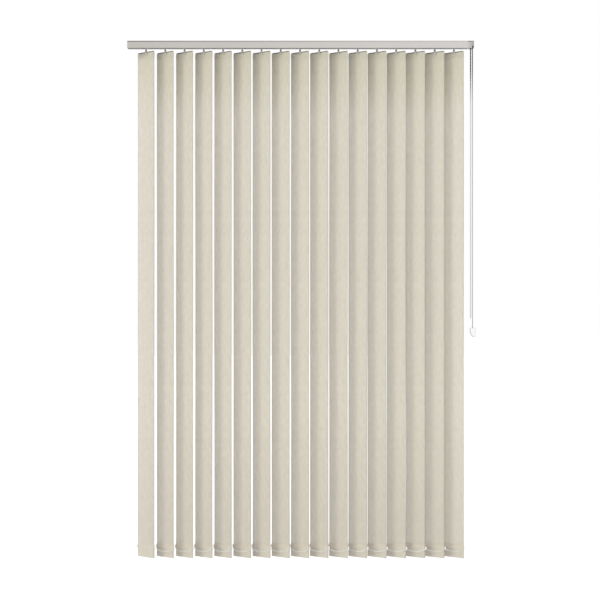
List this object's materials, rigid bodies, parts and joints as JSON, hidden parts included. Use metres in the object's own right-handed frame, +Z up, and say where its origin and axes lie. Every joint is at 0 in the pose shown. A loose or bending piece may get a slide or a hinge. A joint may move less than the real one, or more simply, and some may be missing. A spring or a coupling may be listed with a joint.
{
  "type": "vertical blind",
  "caption": "Vertical blind with beige fabric vanes hung from a slim headrail, bead-chain tilt, draw cord with a weight, and beaded chains along the vanes' bottom edges.",
  "frame": {"origin": "on the ceiling plane, at the axis of the middle clip's screw hole", "axes": "+X along the headrail towards the control end, -Y into the room, +Z up"},
  "size_m": [1.4071, 0.0608, 2.09],
  "materials": {
    "rail": "satin powder coat",
    "cap": "satin moulded",
    "moulding": "moulded",
    "weight": "smooth moulded",
    "steel": "zinc plated",
    "rod": "drawn",
    "chain": "smooth beads",
    "cord": "braided",
    "fabric": "woven, matt"
  },
  "bodies": {
    "headrail_frame": {"headrail": "rail", "mounting_clips": "steel", "control_end_cap": "cap", "return_end_cap": "cap", "rod_bush": "moulding", "control_chain": "chain", "rail_cord": "cord", "draw_cord": "cord", "cord_weight": "weight", "cord_weight_pin": "steel", "cord_pulley_axle": "steel", "return_pulley_axle": "steel", "anchor_link": "steel"},
    "tilt_drive": {"tilt_rod": "rod", "chain_sprocket": "moulding"},
    "front_cord_pulley": {"front_cord_pulley": "moulding"},
    "rear_cord_pulley": {"rear_cord_pulley": "moulding"},
    "return_pulley": {"return_pulley": "moulding"},
    "carrier_01": {"carrier_01": "moulding"},
    "vane_01": {"vane_01": "fabric"},
    "carrier_02": {"carrier_02": "moulding"},
    "vane_02": {"vane_02": "fabric"},
    "carrier_03": {"carrier_03": "moulding"},
    "vane_03": {"vane_03": "fabric"},
    "carrier_04": {"carrier_04": "moulding"},
    "vane_04": {"vane_04": "fabric"},
    "carrier_05": {"carrier_05": "moulding"},
    "vane_05": {"vane_05": "fabric"},
    "carrier_06": {"carrier_06": "moulding"},
    "vane_06": {"vane_06": "fabric"},
    "carrier_07": {"carrier_07": "moulding"},
    "vane_07": {"vane_07": "fabric"},
    "carrier_08": {"carrier_08": "moulding"},
    "vane_08": {"vane_08": "fabric"},
    "carrier_09": {"carrier_09": "moulding"},
    "vane_09": {"vane_09": "fabric"},
    "carrier_10": {"carrier_10": "moulding"},
    "vane_10": {"vane_10": "fabric"},
    "carrier_11": {"carrier_11": "moulding"},
    "vane_11": {"vane_11": "fabric"},
    "carrier_12": {"carrier_12": "moulding"},
    "vane_12": {"vane_12": "fabric"},
    "carrier_13": {"carrier_13": "moulding"},
    "vane_13": {"vane_13": "fabric"},
    "carrier_14": {"carrier_14": "moulding"},
    "vane_14": {"vane_14": "fabric"},
    "carrier_15": {"carrier_15": "moulding"},
    "vane_15": {"vane_15": "fabric"},
    "carrier_16": {"carrier_16": "moulding"},
    "vane_16": {"vane_16": "fabric"},
    "carrier_17": {"carrier_17": "moulding"},
    "vane_17": {"vane_17": "fabric"},
    "front_chain": {"front_chain": "chain"},
    "rear_chain": {"rear_chain": "chain"}
  },
  "joints": [
    {"name": "traverse_01", "type": "slide", "parent": "headrail_frame", "child": "carrier_01", "axis": [1, 0, 0], "range_m": [0, 1.006], "deforming": ["front_chain", "rear_chain"]},
    {"name": "traverse_02", "type": "slide", "parent": "headrail_frame", "child": "carrier_02", "axis": [1, 0, 0], "range_m": [0, 0.9436]},
    {"name": "traverse_03", "type": "slide", "parent": "headrail_frame", "child": "carrier_03", "axis": [1, 0, 0], "range_m": [0, 0.8811]},
    {"name": "traverse_04", "type": "slide", "parent": "headrail_frame", "child": "carrier_04", "axis": [1, 0, 0], "range_m": [0, 0.8186]},
    {"name": "traverse_05", "type": "slide", "parent": "headrail_frame", "child": "carrier_05", "axis": [1, 0, 0], "range_m": [0, 0.7561]},
    {"name": "traverse_06", "type": "slide", "parent": "headrail_frame", "child": "carrier_06", "axis": [1, 0, 0], "range_m": [0, 0.6936]},
    {"name": "traverse_07", "type": "slide", "parent": "headrail_frame", "child": "carrier_07", "axis": [1, 0, 0], "range_m": [0, 0.6311]},
    {"name": "traverse_08", "type": "slide", "parent": "headrail_frame", "child": "carrier_08", "axis": [1, 0, 0], "range_m": [0, 0.5686]},
    {"name": "traverse_09", "type": "slide", "parent": "headrail_frame", "child": "carrier_09", "axis": [1, 0, 0], "range_m": [0, 0.5061]},
    {"name": "traverse_10", "type": "slide", "parent": "headrail_frame", "child": "carrier_10", "axis": [1, 0, 0], "range_m": [0, 0.4436]},
    {"name": "traverse_11", "type": "slide", "parent": "headrail_frame", "child": "carrier_11", "axis": [1, 0, 0], "range_m": [0, 0.3811]},
    {"name": "traverse_12", "type": "slide", "parent": "headrail_frame", "child": "carrier_12", "axis": [1, 0, 0], "range_m": [0, 0.3186]},
    {"name": "traverse_13", "type": "slide", "parent": "headrail_frame", "child": "carrier_13", "axis": [1, 0, 0], "range_m": [0, 0.2561]},
    {"name": "traverse_14", "type": "slide", "parent": "headrail_frame", "child": "carrier_14", "axis": [1, 0, 0], "range_m": [0, 0.1936]},
    {"name": "traverse_15", "type": "slide", "parent": "headrail_frame", "child": "carrier_15", "axis": [1, 0, 0], "range_m": [0, 0.1311]},
    {"name": "traverse_16", "type": "slide", "parent": "headrail_frame", "child": "carrier_16", "axis": [1, 0, 0], "range_m": [0, 0.0686]},
    {"name": "traverse_17", "type": "slide", "parent": "headrail_frame", "child": "carrier_17", "axis": [1, 0, 0], "range_m": [0, 0.0061]},
    {"name": "tilt_01", "type": "hinge", "parent": "carrier_01", "child": "vane_01", "pos_m": [-0.624, 0, 0], "axis": [0, 0, -1], "range_deg": [-18, 128]},
    {"name": "tilt_02", "type": "hinge", "parent": "carrier_02", "child": "vane_02", "pos_m": [-0.546, 0, 0], "axis": [0, 0, -1], "range_deg": [-18.1, 128.1]},
    {"name": "tilt_03", "type": "hinge", "parent": "carrier_03", "child": "vane_03", "pos_m": [-0.468, 0, 0], "axis": [0, 0, -1], "range_deg": [-18.1, 128.1]},
    {"name": "tilt_04", "type": "hinge", "parent": "carrier_04", "child": "vane_04", "pos_m": [-0.39, 0, 0], "axis": [0, 0, -1], "range_deg": [-18.1, 128.1]},
    {"name": "tilt_05", "type": "hinge", "parent": "carrier_05", "child": "vane_05", "pos_m": [-0.312, 0, 0], "axis": [0, 0, -1], "range_deg": [-18.1, 128.1]},
    {"name": "tilt_06", "type": "hinge", "parent": "carrier_06", "child": "vane_06", "pos_m": [-0.234, 0, 0], "axis": [0, 0, -1], "range_deg": [-18.1, 128.1]},
    {"name": "tilt_07", "type": "hinge", "parent": "carrier_07", "child": "vane_07", "pos_m": [-0.156, 0, 0], "axis": [0, 0, -1], "range_deg": [-18.1, 128.1]},
    {"name": "tilt_08", "type": "hinge", "parent": "carrier_08", "child": "vane_08", "pos_m": [-0.078, 0, 0], "axis": [0, 0, -1], "range_deg": [-18.1, 128.1]},
    {"name": "tilt_09", "type": "hinge", "parent": "carrier_09", "child": "vane_09", "pos_m": [0, 0, 0], "axis": [0, 0, -1], "range_deg": [-18.1, 128.1]},
    {"name": "tilt_10", "type": "hinge", "parent": "carrier_10", "child": "vane_10", "pos_m": [0.078, 0, 0], "axis": [0, 0, -1], "range_deg": [-18.1, 128.1]},
    {"name": "tilt_11", "type": "hinge", "parent": "carrier_11", "child": "vane_11", "pos_m": [0.156, 0, 0], "axis": [0, 0, -1], "range_deg": [-18.1, 128.1]},
    {"name": "tilt_12", "type": "hinge", "parent": "carrier_12", "child": "vane_12", "pos_m": [0.234, 0, 0], "axis": [0, 0, -1], "range_deg": [-18.1, 128.1]},
    {"name": "tilt_13", "type": "hinge", "parent": "carrier_13", "child": "vane_13", "pos_m": [0.312, 0, 0], "axis": [0, 0, -1], "range_deg": [-18.1, 128.1]},
    {"name": "tilt_14", "type": "hinge", "parent": "carrier_14", "child": "vane_14", "pos_m": [0.39, 0, 0], "axis": [0, 0, -1], "range_deg": [-18.1, 128.1]},
    {"name": "tilt_15", "type": "hinge", "parent": "carrier_15", "child": "vane_15", "pos_m": [0.468, 0, 0], "axis": [0, 0, -1], "range_deg": [-18.1, 128.1]},
    {"name": "tilt_16", "type": "hinge", "parent": "carrier_16", "child": "vane_16", "pos_m": [0.546, 0, 0], "axis": [0, 0, -1], "range_deg": [-18.1, 128.1]},
    {"name": "tilt_17", "type": "hinge", "parent": "carrier_17", "child": "vane_17", "pos_m": [0.624, 0, 0], "axis": [0, 0, -1], "range_deg": [-18.1, 128.1]},
    {"name": "rod_turn", "type": "hinge", "parent": "headrail_frame", "child": "tilt_drive", "pos_m": [0, 0.0095, -0.0155], "axis": [1, 0, 0], "range_deg": [-181, 1281], "deforming": ["control_chain"]},
    {"name": "front_cord_pulley_turn", "type": "hinge", "parent": "headrail_frame", "child": "front_cord_pulley", "pos_m": [0.6936, -0.016, -0.0175], "axis": [0, 1, 0], "range_deg": [0, 14410.9]},
    {"name": "rear_cord_pulley_turn", "type": "hinge", "parent": "headrail_frame", "child": "rear_cord_pulley", "pos_m": [0.6936, -0.009, -0.0175], "axis": [0, 1, 0], "range_deg": [-14410.9, 0]},
    {"name": "return_pulley_turn", "type": "hinge", "parent": "headrail_frame", "child": "return_pulley", "pos_m": [-0.69, -0.0125, -0.0135], "axis": [0, 0, 1], "range_deg": [0, 16469.4]},
    {"name": "front_chain_swing", "type": "hinge", "parent": "vane_17", "child": "front_chain", "pos_m": [0.6634, -0.02759, -2.0535], "axis": [0, 0, -1], "range_deg": [-128.1, 18.1]},
    {"name": "rear_chain_swing", "type": "hinge", "parent": "vane_17", "child": "rear_chain", "pos_m": [0.5846, 0.02759, -2.0535], "axis": [0, 0, -1], "range_deg": [-128.1, 18.1]}
  ],
  "couplings": [
    {"joint": "traverse_02", "follows": "traverse_01", "ratio": 0.93787},
    {"joint": "traverse_03", "follows": "traverse_01", "ratio": 0.87575},
    {"joint": "traverse_04", "follows": "traverse_01", "ratio": 0.81362},
    {"joint": "traverse_05", "follows": "traverse_01", "ratio": 0.75149},
    {"joint": "traverse_06", "follows": "traverse_01", "ratio": 0.68936},
    {"joint": "traverse_07", "follows": "traverse_01", "ratio": 0.62724},
    {"joint": "traverse_08", "follows": "traverse_01", "ratio": 0.56511},
    {"joint": "traverse_09", "follows": "traverse_01", "ratio": 0.50298},
    {"joint": "traverse_10", "follows": "traverse_01", "ratio": 0.44085},
    {"joint": "traverse_11", "follows": "traverse_01", "ratio": 0.37873},
    {"joint": "traverse_12", "follows": "traverse_01", "ratio": 0.3166},
    {"joint": "traverse_13", "follows": "traverse_01", "ratio": 0.25447},
    {"joint": "traverse_14", "follows": "traverse_01", "ratio": 0.19235},
    {"joint": "traverse_15", "follows": "traverse_01", "ratio": 0.13022},
    {"joint": "traverse_16", "follows": "traverse_01", "ratio": 0.068091},
    {"joint": "traverse_17", "follows": "traverse_01", "ratio": 0.0059642},
    {"joint": "tilt_02", "follows": "tilt_01", "ratio": 1},
    {"joint": "tilt_03", "follows": "tilt_01", "ratio": 1},
    {"joint": "tilt_04", "follows": "tilt_01", "ratio": 1},
    {"joint": "tilt_05", "follows": "tilt_01", "ratio": 1},
    {"joint": "tilt_06", "follows": "tilt_01", "ratio": 1},
    {"joint": "tilt_07", "follows": "tilt_01", "ratio": 1},
    {"joint": "tilt_08", "follows": "tilt_01", "ratio": 1},
    {"joint": "tilt_09", "follows": "tilt_01", "ratio": 1},
    {"joint": "tilt_10", "follows": "tilt_01", "ratio": 1},
    {"joint": "tilt_11", "follows": "tilt_01", "ratio": 1},
    {"joint": "tilt_12", "follows": "tilt_01", "ratio": 1},
    {"joint": "tilt_13", "follows": "tilt_01", "ratio": 1},
    {"joint": "tilt_14", "follows": "tilt_01", "ratio": 1},
    {"joint": "tilt_15", "follows": "tilt_01", "ratio": 1},
    {"joint": "tilt_16", "follows": "tilt_01", "ratio": 1},
    {"joint": "tilt_17", "follows": "tilt_01", "ratio": 1},
    {"joint": "rod_turn", "follows": "tilt_01", "ratio": 10},
    {"joint": "front_cord_pulley_turn", "follows": "traverse_01", "rad_per_m": 250},
    {"joint": "rear_cord_pulley_turn", "follows": "traverse_01", "rad_per_m": -250},
    {"joint": "return_pulley_turn", "follows": "traverse_01", "rad_per_m": 285.71},
    {"joint": "front_chain_swing", "follows": "tilt_01", "ratio": -1},
    {"joint": "rear_chain_swing", "follows": "tilt_01", "ratio": -1}
  ]
}
